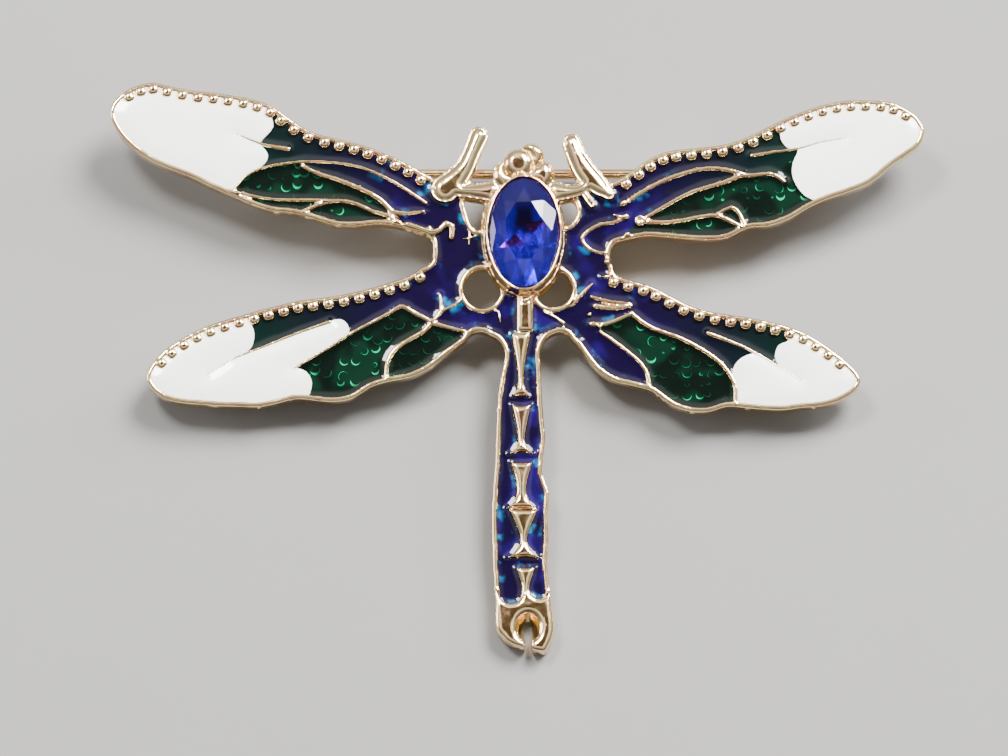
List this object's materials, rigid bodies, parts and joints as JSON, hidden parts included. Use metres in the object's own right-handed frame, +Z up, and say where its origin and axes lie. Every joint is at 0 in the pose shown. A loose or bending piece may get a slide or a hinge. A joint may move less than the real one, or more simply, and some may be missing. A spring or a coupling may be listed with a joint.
{
  "type": "insect brooch",
  "caption": "Dragonfly-shaped brooch: cast metal plate with raised veins and beads, enamel cells, a faceted oval stone and a plain pin on its back.",
  "frame": {"origin": "under the middle of the brooch's box, on the surface that it lies on", "axes": "+X towards the right wings, along the wingspan; +Y from the tail towards the head; +Z up, out of the face of the brooch"},
  "size_m": [0.069, 0.049, 0.0077],
  "materials": {
    "gold_metal": "polished pale gold plating on cast metal",
    "blue_stone": "faceted, polished, transparent royal blue with a foil back",
    "blue_enamel": "glossy dark navy enamel with a blue sheen",
    "green_enamel": "glossy dark bottle green enamel over a punched ground",
    "white_enamel": "glossy domed white enamel",
    "pin_metal": "pale gold plated steel"
  },
  "bodies": {
    "root": {"casting": "gold_metal", "centre_stone": "blue_stone", "left_blue_enamel": "blue_enamel", "right_blue_enamel": "blue_enamel", "tail_enamel": "blue_enamel", "left_fore_green_enamel": "green_enamel", "right_fore_green_enamel": "green_enamel", "left_hind_green_enamel": "green_enamel", "right_hind_green_enamel": "green_enamel", "left_fore_white_enamel": "white_enamel", "right_fore_white_enamel": "white_enamel", "left_hind_white_enamel": "white_enamel", "right_hind_white_enamel": "white_enamel", "brooch_pin": "pin_metal"}
  },
  "joints": []
}
